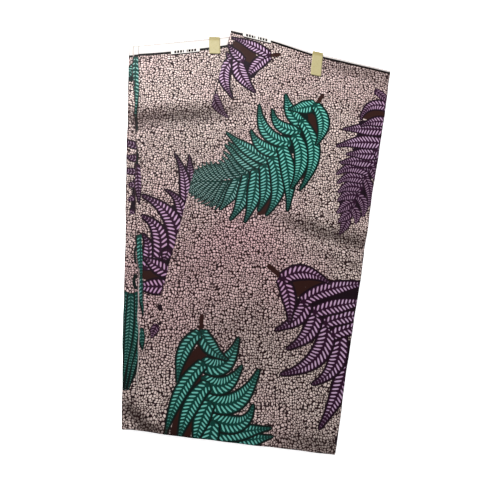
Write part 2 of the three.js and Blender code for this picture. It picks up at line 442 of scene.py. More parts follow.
def high_purple() -> list[Blade]:
    """The purple frond that the upper packet's right fold cuts off, faded towards its low end."""
    return [
        bar((352, 448), (345, 412), (332, 372), 24.0, PURPLE),
        bar((332, 376), (318, 340), (304, 300), 19.0, PURPLE),
        eye((330, 452), (353, 457), (386, 456), 9.5),
        *leaves(PURPLE, 4.83, (
            ((301, 286), (295, 274), (287, 261), 6.5, 1.0), ((307, 297), (297, 289), (286, 280), 7.0, 0.9),
            ((313, 313), (301, 307), (285, 294), 8.5, 0.9), ((318, 323), (303, 323), (287, 313), 8.5, 0.8),
            ((325, 335), (306, 337), (288, 326), 9.0, 0.8), ((333, 348), (309, 352), (288, 341), 9.5, 0.7),
            ((339, 360), (314, 368), (287, 355), 10.0, 0.6), ((350, 376), (323, 379), (293, 374), 11.0, 0.45),
            ((356, 391), (330, 391), (303, 389), 10.5, 0.4), ((366, 409), (327, 410), (289, 401), 12.0, 0.25),
            ((372, 433), (337, 433), (301, 431), 12.0, 0.3), ((380, 446), (353, 446), (329, 437), 9.5, 0.3),
            ((388, 467), (352, 474), (330, 447), 9.5, 0.3), ((358, 500), (369, 491), (384, 476), 6.5, 0.9),
            ((309, 304), (315, 294), (312, 278), 7.0, 1.0), ((318, 323), (327, 311), (324, 290), 8.0, 0.9),
            ((330, 343), (341, 333), (344, 312), 8.5, 0.8), ((342, 369), (349, 356), (352, 338), 8.0, 0.8),
            ((352, 398), (361, 383), (368, 360), 9.0, 0.6), ((332, 352), (338, 330), (334, 306), 7.5, 0.9),
        ), finer=1.3),
    ]


def left_purple() -> list[Blade]:
    """The purple frond that meets the border line near the upper packet's corner."""
    return [
        bar((133, 566), (149, 546), (160, 530), 12.0, PURPLE),
        bar((118, 529), (130, 527), (146, 524), 6.0),
        eye((131, 566), (149, 548), (170, 527), 13.0),
        bar((111, 499), (105, 484), (105, 466), 2.0, PURPLE),
        bar((138, 528), (152, 520), (168, 512), 11.0, PURPLE),
        bar((206, 551), (195, 547), (180, 543), 3.0),
        *leaves(PURPLE, 4.7, (
            ((135, 532), (127, 538), (119, 546), 7.5, 0, 4.6), ((127, 529), (117, 504), (131, 466), 10.3, 0),
            ((186, 545), (165, 524), (149, 498), 10.3, 0, 4.8),
            ((139, 533), (144, 507), (166, 478), 12.3, 0, 4.9),
            ((146, 533), (132, 548), (122, 562), 8.5, 0), ((186, 546), (158, 562), (127, 573), 10.0, 0),
            ((102, 471), (109, 452), (125, 435), 8.0, 0.95, 3.8),
        )),
    ]


def loose_bits() -> list[Blade]:
    """Three small blots of purple between the fronds, near the packets' left edges."""
    return [
        bar((34, 155), (36, 152), (35, 148), 3.2, PURPLE),
        bar((37, 134), (37, 131), (36, 129), 2.0, PURPLE),
        *leaves(PURPLE, 3.4, (((33, 128), (29, 121), (27, 112), 6.0, 0.95),)),
    ]


def upper_print() -> list[Blade]:
    """Everything on the upper packet's top ply."""
    fronds = (high_teal, low_teal, right_purple, high_purple, left_purple, loose_bits)
    return [blade for frond in fronds for blade in frond()]


def lower_print() -> list[Blade]:
    """One purple frond and the loose bits on the lower packet's top ply."""
    return [
        *stalk(((66, 322), (60, 285), (52, 250), (40, 215), (30, 170)), 9.0, PURPLE),
        bar((56, 300), (50, 240), (34, 172), 17.0, PURPLE),
        eye((0, 199), (25, 198), (54, 194), 11.0),
        *leaves(PURPLE, 5.4, (
            ((68, 318), (70, 350), (68, 377), 7.5, 0.2, 4.2), ((64, 292), (62, 340), (46, 378), 9.0, 0, 4.6),
            ((62, 262), (57, 300), (34, 321), 9.5, 0, 4.8), ((13, 206), (17, 233), (6, 256), 10.0, 0),
            ((31, 218), (28, 260), (-1, 282), 12.0, 0, 5.8), ((52, 230), (46, 278), (1, 312), 13.5, 0, 6.0),
            ((44, 232), (41, 225), (38, 214), 8.0, 0, 4.8), ((47, 198), (28, 210), (8, 222), 11.0, 0),
            ((47, 181), (23, 181), (-2, 180), 12.0, 0),
        )),
        *loose_bits(),
    ]


def outer_print() -> list[Blade]:
    """Parts of three fronds on the outer ply's narrow strip."""
    stem = ((-4, 392), (-6, 340), (-8, 284))
    tips = ((-32, 400), (-27, 352), (-16, 300), (-14, 280))
    return [
        bar((-14, 160), (-12, 120), (-14, 66), 14.0, TEAL),
        bar((6, 160), (6, 120), (2, 76), 10.0, TEAL),
        bar((6, 112), (3, 78), (-10, 48), 8.5, TEAL),
        *leaves(TEAL, 3.8, (
            ((10, 164), (9, 108), (-1, 46), 6.6, 0.4), ((-12, 172), (-12, 116), (-15, 50), 6.6, 0.4),
            ((4, 172), (3, 112), (-5, 46), 6.4, 0.3), ((-4, 170), (-4, 112), (-9, 48), 6.2, 0.3),
        )),
        *stalk(stem, 4.0, PURPLE),
        bar((-1, 238), (-2, 227), (0, 213), 1.7, TEAL),
        bar((3, 198), (-1, 189), (3, 177), 2.4, TEAL),
        *Fringe(PURPLE, stem, tips, 6, (0.05, 0.95), (7.0, 5.0), (0.1, 0.1), (4.2, 3.4), (0.4, 0.9),
                (1.0, 0.7)).blades(),
        *stalk(((-8, 524), (-16, 508), (-24, 492)), 4.0, TEAL),
        *leaves(TEAL, 4.4, (((-6, 524), (-20, 513), (-32, 490), 8.0, 0.5),)),
    ]


def middle_print() -> list[Blade]:
    """Parts of the cut fronds on the middle ply's sliver."""
    return [
        *leaves(TEAL, 6.0, (((-17, 534), (-15, 480), (-11, 420), 7.5, 0.5),)),
        bar((-12, 432), (-11, 422), (-10, 410), 3.4, TEAL),
        bar((-8, 384), (-7, 372), (-6, 356), 2.4, TEAL),
        *leaves(PURPLE, 5.0, (((-6, 356), (-3, 330), (0, 298), 7.5, 0.3),)),
        *leaves(TEAL, 4.6, (
            ((4, 252), (7, 214), (10, 182), 7.0, 0.1), ((9, 194), (11, 172), (14, 142), 7.0, 0.1),
            ((12, 124), (14, 108), (15, 96), 5.0, 0.2, 4.0),
        )),
    ]


# ---- Meshes with a print ------------------------------------------------------------------


@dataclass
class Sheet:
    """One surface before it becomes an object.

    It holds frame metres, cloth millimetres, bake UVs and further vectors of every point, and
    vectors of every corner of every quad.
    """

    points: np.ndarray
    quads: np.ndarray
    cloth: np.ndarray
    bake: np.ndarray
    vectors: dict[str, np.ndarray] = field(default_factory=dict)
    corner_vectors: dict[str, np.ndarray] = field(default_factory=dict)

    def build(self, name: str) -> bpy.types.Object:
        """Writes the surface into a mesh object at the origin, smooth shaded.

        Args:
            name: name of the object.

        Returns:
            The new object, linked to the scene.
        """
        mesh = bpy.data.meshes.new(name)
        mesh.vertices.add(len(self.points))
        mesh.vertices.foreach_set("co", self.points.astype(np.float32).ravel())
        corners = self.quads.ravel()
        mesh.loops.add(len(corners))
        mesh.loops.foreach_set("vertex_index", corners.astype(np.int32))
        mesh.polygons.add(len(self.quads))
        mesh.polygons.foreach_set("loop_start", (np.arange(len(self.quads)) * 4).astype(np.int32))
        mesh.update(calc_edges=True)
        mesh.polygons.foreach_set("use_smooth", np.ones(len(self.quads), bool))
        for title, table in (("cloth", self.cloth / UV_UNIT), ("OFBake", self.bake)):
            layer = mesh.uv_layers.new(name=title)
            layer.data.foreach_set("uv", table[self.quads].astype(np.float32).ravel())
        vectors = {title: table[self.quads] for title, table in self.vectors.items()}
        for title, table in (self.corner_vectors | vectors).items():
            attribute = mesh.attributes.new(title, "FLOAT_VECTOR", "CORNER")
            attribute.data.foreach_set("vector", table.astype(np.float32).ravel())
        mesh.uv_layers.active = mesh.uv_layers["cloth"]
        mesh.validate()
        thing = bpy.data.objects.new(name, mesh)
        bpy.context.scene.collection.objects.link(thing)
        return thing


LAYERS = 4  # blades that may lie over one another on a face
NO_BLADE = -9.0  # half width stored where a layer has no blade


class Print:
    """Stamps blades on the faces of a sheet, in painting order."""

    near: ClassVar[float] = 1.0  # a face this close to a blade keeps it, in millimetres
    past: ClassVar[float] = 0.5  # a blade this far past every corner of a face covers it wholly

    def __init__(self, places: np.ndarray, quads: np.ndarray) -> None:
        """Starts with bare cloth.

        Args:
            places: cloth millimetres of every point.
            quads: point numbers of every face.
        """
        self.places = places
        self.quads = quads
        self.shape = np.zeros((LAYERS, len(quads), 4, 3))
        self.shape[..., 2] = NO_BLADE
        self.tint = np.zeros((LAYERS, len(quads), 4, 3))

    def stamp(self, blade: Blade) -> None:
        """Adds a blade: a face that it covers wholly forgets what was there, others keep it below.

        Args:
            blade: the blade to add.
        """
        path = blade.spine()
        margin = blade.half_width + 4.0
        boxed = np.all((self.places > path.min(0) - margin) & (self.places < path.max(0) + margin), axis=1)
        if not boxed.any():
            return
        values = np.full((len(self.places), 3), (0.0, 99.0, 0.0))
        values[boxed] = blade.measure(self.places[boxed])
        inside = (values[:, 2] - np.abs(values[:, 1]))[self.quads]
        touched = np.flatnonzero(inside.max(axis=1) > -self.near)
        full = inside[touched].min(axis=1) > self.past
        for table in (self.shape, self.tint):
            table[:-1, touched] = table[1:, touched]
        self.shape[-1, touched] = values[self.quads[touched]]
        self.tint[-1, touched] = (blade.dye.value, blade.pitch, blade.fade)
        self.shape[:-1, touched[full], :, 1:] = (0.0, NO_BLADE)

    def vectors(self) -> dict[str, np.ndarray]:
        """Corner attributes of the stamped blades, lowest layer first."""
        made = {}
        for layer in range(LAYERS):
            made[f"blade_{layer}"] = self.shape[layer]
            made[f"tint_{layer}"] = self.tint[layer]
        return made


@dataclass(frozen=True)
class Hem:
    """The border line beside the selvedge, y = low + slope x + curve x^2, and its label box."""

    low: float
    slope: float
    curve: float
    label: float

    def measure(self, places: np.ndarray) -> np.ndarray:
        """Millimetres along the label box and above the line, then 0.

        Args:
            places: cloth millimetres of points, one row each.

        Returns:
            Array with a row for each place.
        """
        x, y = places.T
        line = self.low + self.slope * x + self.curve * x * x
        tilt = 1.0 / np.sqrt(1.0 + (self.slope + 2.0 * self.curve * x) ** 2)
        return np.stack([(x - self.label) / tilt, (y - line) * tilt, 0.0 * x], axis=-1)


LOWER_HEM = Hem(538.58, 0.1544, 0.000318, 35.9)
UPPER_HEM = Hem(608.25, -0.1939, 0.0, 146.2)


def wave(run: np.ndarray, phase: float) -> np.ndarray:
    """Three sines of different length along an edge."""
    base = np.sin(run / 37.0 + phase) + 0.6 * np.sin(run / 15.0 + 2.3 * phase)
    return base + 0.35 * np.sin(run / 6.1 + 4.1 * phase)


@dataclass(frozen=True)
class Plan:
    """Plan of a ply or pile: corners anticlockwise from bottom left, and slightly uneven edges."""

    corners: tuple[Point, Point, Point, Point]
    uneven: tuple[float, float, float, float] = (0.4, 0.4, 0.3, 0.3)
    seed: float = 0.0
    edge_reach: float = 18.0

    def size(self) -> Point:
        """Width half way up and height half way across, in millimetres."""
        a, b, c, d = np.array(self.corners, float)
        return float(np.linalg.norm(b + c - a - d)) / 2, float(np.linalg.norm(c + d - a - b)) / 2

    def gaps(self, u: np.ndarray, v: np.ndarray) -> np.ndarray:
        """Distances of (u, v) from the left, right, bottom and top edge, in millimetres."""
        width, height = self.size()
        return np.stack([u * width, (1 - u) * width, v * height, (1 - v) * height])

    def place(self, u: np.ndarray, v: np.ndarray) -> np.ndarray:
        """Bilinear place of (u, v), moved near each edge by a few sine waves along that edge.

        Args:
            u: share of the way across.
            v: share of the way up.

        Returns:
            Cloth millimetres, last axis x and y.
        """
        a, b, c, d = np.array(self.corners, float)
        low = a + (b - a) * u[..., None]
        high = d + (c - d) * u[..., None]
        gaps = self.gaps(u, v)
        runs = (gaps[2], gaps[2], gaps[0], gaps[0])
        left, right, bottom, top = (
            rough * wave(run, self.seed + number) * np.exp(-((gap / self.edge_reach) ** 2))
            for number, (rough, run, gap) in enumerate(zip(self.uneven, runs, gaps), 1)
        )
        return low + (high - low) * v[..., None] + np.stack([left + right, bottom + top], axis=-1)

    def grid(self, inset: float, across: np.ndarray, up: np.ndarray) -> tuple[np.ndarray, np.ndarray]:
        """Shares (u, v) of a grid set in from the edges, row by row from the bottom.

        Args:
            inset: distance from the edges in millimetres.
            across: shares of the inset width.
            up: shares of the inset height.

        Returns:
            The shares u and v of every grid point.
        """
        width, height = self.size()
        u = (inset + across * (width - 2 * inset)) / width
        v = (inset + up * (height - 2 * inset)) / height
        grid_v, grid_u = np.meshgrid(v, u, indexing="ij")
        return grid_u.ravel(), grid_v.ravel()


def grid_quads(rows: int, columns: int, start: int = 0) -> np.ndarray:
    """Quads of a grid of rows by columns cells, facing up when rows run up and columns right."""
    j, i = np.meshgrid(np.arange(rows), np.arange(columns), indexing="ij")
    a = start + j * (columns + 1) + i
    return np.stack([a, a + 1, a + columns + 2, a + columns + 1], axis=-1).reshape(-1, 4)


def grid_loop(rows: int, columns: int) -> np.ndarray:
    """Point numbers once round a grid's edge, anticlockwise seen from above."""
    wide = columns + 1
    bottom = np.arange(columns)
    right = np.arange(rows) * wide + columns
    top = rows * wide + np.arange(columns, 0, -1)
    left = np.arange(rows, 0, -1) * wide
    return np.concatenate([bottom, right, top, left])


def ring_quads(first: np.ndarray, second: np.ndarray) -> np.ndarray:
    """Quads between two loops, facing outwards when the second lies outside or below the first."""
    return np.stack([first, second, np.roll(second, -1), np.roll(first, -1)], axis=-1)


def rings_quads(loop: np.ndarray, start: int, count: int) -> np.ndarray:
    """Quads of count rings, numbered on from start, that follow one another round a loop."""
    rings = [loop] + [start + k * len(loop) + np.arange(len(loop)) for k in range(count)]
    return np.concatenate([ring_quads(a, b) for a, b in zip(rings, rings[1:])])


def outward_of(loop: np.ndarray) -> np.ndarray:
    """Unit vectors out of an anticlockwise loop of plan points."""
    run = np.roll(loop, -1, axis=0) - np.roll(loop, 1, axis=0)
    out = np.stack([run[:, 1], -run[:, 0]], axis=-1)
    return out / np.linalg.norm(out, axis=1, keepdims=True)


def to_frame(plan: np.ndarray, height: np.ndarray) -> np.ndarray:
    """Frame metres of plan millimetres and heights."""
    return np.concatenate([(plan + PIVOT) * MM, height[:, None] * MM], axis=1)


@dataclass(frozen=True)
class Piece:
    """A piece of the cloth that stands for one CAD node."""

    name: str
    node: str

    def surface(self) -> Sheet:
        """The surface of the piece."""
        raise NotImplementedError

    def make(self, finish: bpy.types.Material) -> bpy.types.Object:
        """Builds the piece.

        Args:
            finish: its material.

        Returns:
            The finished piece.
        """
        piece = self.surface().build(self.name)
        piece.data.materials.append(finish)
        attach(piece, "root")
        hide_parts(self.node)
        log.info("%s: %d faces", piece.name, len(piece.data.polygons))
        return piece


@dataclass(frozen=True)
class Ply(Piece):
    """One ply that shows: a thin shell with a rounded rim that tucks under.

    The top sinks at each folded edge by its roll times (1 - distance / roll_reach)^2.
    """

    plan: Plan
    level: Level
    hem: Hem
    blades: list[Blade]
    flat: Point
    columns: np.ndarray
    row_step: float = 2.0
    thickness: float = 1.0
    tuck: float = 1.8
    roll: tuple[float, float, float, float] = (0.5, 0.5, 0.5, 0.0)
    roll_reach: float = 3.0
    raw_left: bool = False
    fray_reach: float = 3.4

    def surface(self) -> Sheet:
        """Grid over the plan and rings round it: a half circle down, then a tuck under.

        Returns:
            The sheet with its print.
        """
        radius = self.thickness / 2
        columns = len(self.columns) - 1
        rows = round(self.plan.size()[1] / self.row_step)
        u, v = self.plan.grid(radius, self.columns / self.columns[-1], np.linspace(0, 1, rows + 1))
        gaps = self.plan.gaps(u, v)
        places = self.plan.place(u, v)
        sink = np.clip(1.0 - gaps / self.roll_reach, 0.0, 1.0) ** 2
        tops = self.level(*places.T) - np.dot(self.roll, sink)
        loop = grid_loop(rows, columns)
        out = outward_of(places[loop])
        turns = np.linspace(0.0, np.pi, 7)[1:]
        offsets = [*radius * np.sin(turns), -self.tuck]
        falls = [*radius * (1 - np.cos(turns)), 2 * radius]
        arcs = [*radius * turns, radius * np.pi + self.tuck]
        plan = np.concatenate([places, *(places[loop] + out * offset for offset in offsets)])
        heights = np.concatenate([tops, *(tops[loop] - fall for fall in falls)])
        cloth = np.concatenate([places, *(places[loop] + out * arc for arc in arcs)])
        faces = np.concatenate([grid_quads(rows, columns), rings_quads(loop, len(places), len(arcs))])
        stamps = Print(cloth, faces)
        for blade in self.blades:
            stamps.stamp(blade)
        # tone holds the painted shade of creases and corners, the distance to the edge for the painted edge
        # shade, and the rosy share
        edge = np.zeros(len(cloth))
        edge[: len(places)] = gaps.min(axis=0)
        vectors = {
            "hem": self.hem.measure(cloth),
            "tone": np.stack([LIE.shade(*cloth.T), edge, LIE.glow.height(*cloth.T)], axis=-1),
        }
        if self.raw_left:
            raw = 1.0 * (cloth[:, 0] < 20.0)
            raw[: len(places)] = np.clip(1.0 - gaps[0] / self.fray_reach, 0.0, 1.0)
            vectors["raw"] = np.stack([raw, raw, raw], axis=-1)
        low, high = cloth.min(0), cloth.max(0)
        bake = 0.01 + 0.98 * (cloth - low) / (high - low).max()
        return Sheet(to_frame(plan, heights), faces, cloth, bake, vectors, stamps.vectors())

    def make(self, finish: bpy.types.Material) -> bpy.types.Object:
        piece = super().make(finish)
        return piece


@dataclass(frozen=True)
class FoldPile(Piece):
    """The hidden layers of a packet: rounded folds above one another, a little uneven."""

    plan: Plan
    over: Level
    under: Level
    folds: int
    seed: int
    inset: float = 3.0
    bulge: float = 1.1
    stagger: float = 0.7
    step: float = 6.0
    steps: int = 6
    waist: float = 0.08
    swing: float = 0.35
    swells: tuple[tuple[float, int], ...] = ((1.0, 3), (0.7, 11))  # share, waves once round

    def surface(self) -> Sheet:
        """Caps over the plan, and between them one half circle per fold, each set out unevenly.

        Returns:
            The closed pile.
        """
        columns, rows = (round(side / self.step) for side in self.plan.size())
        u, v = self.plan.grid(self.inset, np.linspace(0, 1, columns + 1), np.linspace(0, 1, rows + 1))
        places = self.plan.place(u, v)
        tops = self.over(*places.T)
        feet = self.under(*places.T)
        loop = grid_loop(rows, columns)
        out = outward_of(places[loop])
        run = np.linalg.norm(np.diff(places[loop], axis=0, append=places[loop][:1]), axis=1)
        reach = np.cumsum(run) - run
        round_share = reach / run.sum()
        far_end = np.zeros(len(loop))
        far_end[columns + rows : 2 * columns + rows + 1] = 1.0
        rng = np.random.default_rng(self.seed)
        flat = np.zeros((len(places), 3))
        plan, heights, edge = [places], [tops], [flat]
        bake = [np.stack([0.5 + 0.48 * u, 0.35 + 0.63 * v], -1)]
        for fold in range(self.folds):
            phase = rng.uniform(0, 6.28, 3)
            depth = rng.uniform(-0.5, 0.5)
            turns = round_share * 2 * np.pi
            pairs = zip(self.swells, phase)
            swing = sum(share * np.sin(turns * waves + start) for (share, waves), start in pairs)
            bulge = self.bulge + self.stagger * (depth + self.swing * swing)
            for part in range(1, self.steps + 1):
                turn = np.pi * part / self.steps
                down = (fold + (1 - math.cos(turn)) / 2) / self.folds
                least = self.waist if fold + 1 < self.folds else 0.0
                plan.append(places[loop] + out * (bulge * max(math.sin(turn), least))[:, None])
                heights.append(tops[loop] + (feet[loop] - tops[loop]) * down)
                depths = np.full(len(loop), fold + part / self.steps)
                edge.append(np.stack([reach, depths, far_end], -1))
                bake.append(np.stack([0.01 + 0.98 * round_share, 0.01 + 0.3 * depths / self.folds], -1))
        bake.append(np.stack([0.01 + 0.48 * u, 0.35 + 0.63 * v], -1))
        rings = self.folds * self.steps
        foot = len(places) + rings * len(loop)
        faces = np.concatenate([
            grid_quads(rows, columns),
            rings_quads(loop, len(places), rings),
            grid_quads(rows, columns, foot)[:, ::-1],
            ring_quads(foot - len(loop) + np.arange(len(loop)), foot + loop),
        ])
        cloth = np.concatenate([*plan, places])
        points = to_frame(cloth, np.concatenate([*heights, feet]))
        vectors = {"edge": np.concatenate([*edge, flat])}
        return Sheet(points, faces, cloth, np.concatenate(bake), vectors)

    def make(self, finish: bpy.types.Material) -> bpy.types.Object:
        """Builds the pile."""
        piece = super().make(finish)
        return piece


@dataclass(frozen=True)
class Sticker(Piece):
    """A foil strip over the selvedge, which follows the cloth with slightly lifted ends."""

    middle: Point
    turn: float
    length: float
    level: Level
    width: float = 17.0
    lift: float = 0.55
    wall: float = 0.35

    def surface(self) -> Sheet:
        """Closed strip: a top grid and a bottom grid joined round the edge.

        The height is the cloth's level plus the lift, and a small curl at both ends.

        Returns:
            The closed strip.
        """
        rows, columns = 22, 12
        angle = math.radians(self.turn)
        across = np.array([math.cos(angle), math.sin(angle)])
        down = np.array([math.sin(angle), -math.cos(angle)])
        v, u = np.meshgrid(np.linspace(1, 0, rows + 1), np.linspace(-0.5, 0.5, columns + 1), indexing="ij")
        u, v = u.ravel(), v.ravel()
        rim = 1.0 - 0.012 * np.abs(2 * u) ** 8
        plan = self.middle + np.outer(u * self.width, across) + np.outer(v * self.length * rim, down)
        curl = 0.25 * np.clip((0.12 - v) / 0.12, 0, 1) ** 2 + 0.2 * np.clip((v - 0.9) / 0.1, 0, 1) ** 2
        dent = 0.06 * np.sin(u * 9.0 + v * 17.0) + 0.05 * np.sin(v * 31.0 - u * 6.0)
        height = self.level(*plan.T) + self.lift + curl + dent
        loop = grid_loop(rows, columns)
        points = np.concatenate([to_frame(plan, height + self.wall), to_frame(plan, height)])
        faces = np.concatenate([
            grid_quads(rows, columns),
            grid_quads(rows, columns, len(plan))[:, ::-1],
            ring_quads(loop, loop + len(plan)),
        ])
        cloth = np.stack([u * self.width, v * self.length], -1)
        cloth = np.concatenate([cloth, cloth + [UV_UNIT, 0.0]])
        bake = np.stack([0.02 + 0.45 * (u + 0.5), 0.02 + 0.96 * v], -1)
        bake = np.concatenate([bake, bake + [0.5, 0.0]])
        return Sheet(points, faces, cloth, bake)

    def make(self, finish: bpy.types.Material) -> bpy.types.Object:
        """Builds the strip."""
        piece = super().make(finish)
        return piece


# ---- Finishes -----------------------------------------------------------------------------


def linear(colour: Colour) -> tuple[float, float, float, float]:
    """Linear colour of display values from 0 to 255: ((c / 255 + 0.055) / 1.055)^2.4 above 10."""
    return (*(((c / 255 + 0.055) / 1.055) ** 2.4 if c > 10 else c / 255 / 12.92 for c in colour), 1.0)


def joined(operation: str, swapped: bool = False) -> Callable[["Signal", "Signal | float"], "Signal"]:
    """A method that joins two values with a Math node, the other value first where swapped."""

    def method(self: "Signal", other: "Signal | float") -> "Signal":
        """Joins the two values."""
        values = (other, self) if swapped else (self, other)
        return self.desk.math(operation, *values)

    return method


class Signal:
    """An output socket that takes part in sums."""

    __add__, __radd__ = joined("ADD"), joined("ADD", swapped=True)
    __sub__, __rsub__ = joined("SUBTRACT"), joined("SUBTRACT", swapped=True)
    __mul__, __rmul__ = joined("MULTIPLY"), joined("MULTIPLY", swapped=True)
    __truediv__, __rtruediv__ = joined("DIVIDE"), joined("DIVIDE", swapped=True)
    most = joined("MAXIMUM")

    def __init__(self, desk: "Desk", socket: bpy.types.NodeSocket) -> None:
        """Keeps the socket and the desk that adds nodes for it."""
        self.desk = desk
        self.socket = socket

    def __abs__(self) -> "Signal":
        """Size without sign."""
        return self.desk.math("ABSOLUTE", self)

    def fraction(self) -> "Signal":
        """What is left above the whole number."""
        return self.desk.math("FRACT", self)

    def sine(self) -> "Signal":
        """Sine, in radians."""
        return self.desk.math("SINE", self)

    def rise(self, low: float, high: float) -> "Signal":
        """Smooth step from 0 at low to 1 at high, falling where low is above high."""
        if low > high:
            return 1.0 - self.rise(high, low)
        return self.desk.add(
            "ShaderNodeMapRange", {"interpolation_type": "SMOOTHSTEP"},
            {"Value": self, "From Min": low, "From Max": high},
        )

    def within(self, low: float, high: float, soft: float) -> "Signal":
        """1 between low and high, falling smoothly to 0 over soft inside each end."""
        return self.rise(low, low + soft) * self.rise(high, high - soft)


Value = Signal | float | tuple


class Desk:
    """A material or a studio world in the making: adds nodes and links them."""

    def __init__(self, name: str, world: bpy.types.World | None = None) -> None:
        """Starts empty.

        Args:
            name: name of the new material.
            world: the world to work on instead of a new material.
        """
        self.material = world or bpy.data.materials.new(name)
        self.material.use_nodes = True
        self.tree = self.material.node_tree
        self.tree.nodes.clear()

    def add(self, kind: str, settings: dict[str, object], inputs: dict[str | int, Value],
            output: str | int = 0) -> Signal:
        """Adds a node.

        Args:
            kind: Blender's name of the node type.
            settings: properties of the node, set first.
            inputs: values or signals by the socket's name or number.
            output: the output wanted, by name or number.

        Returns:
            That output.
        """
        node = self.tree.nodes.new(kind)
        for key, value in settings.items():
            setattr(node, key, value)
        for key, value in inputs.items():
            if isinstance(value, Signal):
                self.tree.links.new(value.socket, node.inputs[key])
            else:
                node.inputs[key].default_value = value
        return Signal(self, node.outputs[output])

    def math(self, operation: str, *values: Value) -> Signal:
        """A Math node of the given operation."""
        return self.add("ShaderNodeMath", {"operation": operation}, dict(enumerate(values)))

    def mix(self, share: Value, first: Value, second: Value, blend: str = "MIX") -> Signal:
        """Colour from the first to the second as share goes from 0 to 1. Tuples are display colours."""
        ends = [linear(end) if isinstance(end, tuple) else end for end in (first, second)]
        settings = {"data_type": "RGBA", "blend_type": blend}
        return self.add("ShaderNodeMix", settings, {0: share, 6: ends[0], 7: ends[1]}, 2)

    def parts(self, vector: Signal) -> tuple[Signal, Signal, Signal]:
        """The three numbers of a vector."""
        first = self.add("ShaderNodeSeparateXYZ", {}, {"Vector": vector})
        node = first.socket.node
        return first, Signal(self, node.outputs[1]), Signal(self, node.outputs[2])

    def attribute(self, name: str) -> Signal:
        """A named attribute of the mesh, as a vector."""
        return self.add("ShaderNodeAttribute", {"attribute_name": name}, {}, "Vector")

    def place(self) -> Signal:
        """Cloth millimetres, from the cloth UV map."""
        cloth = self.add("ShaderNodeUVMap", {"uv_map": "cloth"}, {}, "UV")
        return self.add("ShaderNodeVectorMath", {"operation": "SCALE"}, {0: cloth, "Scale": UV_UNIT})

    def bump(self, height: Signal) -> Signal:
        """A normal for a height in millimetres, at half strength."""
        return self.add("ShaderNodeBump", {}, {"Strength": 0.5, "Distance": MM, "Height": height}, "Normal")

    def vector(self, x: Value, y: Value, z: Value = 0.0) -> Signal:
        """A vector of three numbers."""
        return self.add("ShaderNodeCombineXYZ", {}, {0: x, 1: y, 2: z})

    def noise(self, vector: Signal, scale: float, detail: float = 2.0) -> Signal:
        """Soft noise from 0 to 1 about 0.5."""
        return self.add("ShaderNodeTexNoise", {"noise_dimensions": "3D"},
                        {"Vector": vector, "Scale": scale, "Detail": detail}, 0)

    def voronoi(self, vector: Signal, scale: float, feature: str, output: str = "Distance",
                even: float = 1.0) -> Signal:
        """Cells in the plane: distance to a cell's middle or edge, or its own colour."""
        return self.add("ShaderNodeTexVoronoi", {"voronoi_dimensions": "2D", "feature": feature},
                        {"Vector": vector, "Scale": scale, "Randomness": even}, output)

    def finish(self, **inputs: Value) -> bpy.types.Material:
        """Ends the material with one Principled shader.

        Args:
            inputs: its sockets, by name with underscores for spaces.

        Returns:
            The material.
        """
        named = {key.replace("_", " "): value for key, value in inputs.items()}
        shader = self.add("ShaderNodeBsdfPrincipled", {}, named)
        output = self.tree.nodes.new("ShaderNodeOutputMaterial")
        self.tree.links.new(shader.socket, output.inputs["Surface"])
        return self.material


@dataclass(frozen=True)
class Ground:
    """The pebble ground of the print: pale pebbles on a dark net, with scattered dots."""

    pebble: Colour = (160, 143, 137)
    pale: Colour = (198, 181, 174)
    net: Colour = (30, 13, 17)
    dot: Colour = (14, 4, 6)
    pitch: float = 3.5
    dot_pitch: float = 7.2
    even: float = 0.72
    drift: float = 7.0
    net_width: tuple[float, float] = (0.03, 0.2)  # shares of a cell where the net ends
    pebble_rim: tuple[float, float] = (0.64, 0.42)
    dot_rim: tuple[float, float] = (0.19, 0.13)

    def paint(self, desk: Desk, place: Signal) -> Signal:
        """Colour of the ground at a place in millimetres.

        Args:
            desk: the material in the making.
            place: cloth millimetres.

        Returns:
            The colour.
        """
        drift = desk.add("ShaderNodeTexNoise", {"noise_dimensions": "2D"},
                         {"Vector": place, "Scale": 0.055, "Detail": 0.0}, 1)
        moved = desk.add("ShaderNodeVectorMath", {"operation": "MULTIPLY_ADD"},
                         {0: drift, 1: (self.drift, self.drift, 0.0), 2: place}, 0)
        cells = 1.0 / self.pitch
        gap = desk.voronoi(moved, cells, "DISTANCE_TO_EDGE", even=self.even)
        tone, size, _ = desk.parts(desk.voronoi(moved, cells, "F1", "Color", even=self.even))
        middle = desk.voronoi(moved, cells, "F1", even=self.even)
        stone = desk.mix(tone, self.pebble, self.pale)
        loose = (desk.noise(place, 0.4, 0.0) - 0.5) * 0.3
        whole = (gap - size * 0.04 + loose).rise(*self.net_width)
        whole = whole * (middle + size * 0.1).rise(*self.pebble_rim)
        base = desk.mix(whole, self.net, stone)
        far = desk.voronoi(moved, 1.0 / self.dot_pitch, "F1", even=0.85)
        return desk.mix(far.rise(*self.dot_rim), base, self.dot)


@dataclass(frozen=True)
class Ink:
    """Colours of one dye: dashes, faded dashes, cloth between them, and the dark outline."""

    dash: Colour
    dim_dash: Colour
    base: Colour
    edge: Colour


TEAL_INK = Ink((90, 160, 148), (120, 142, 138), (0, 47, 40), (0, 14, 12))
PURPLE_INK = Ink((164, 137, 163), (114, 90, 109), (32, 6, 29), (12, 1, 10))


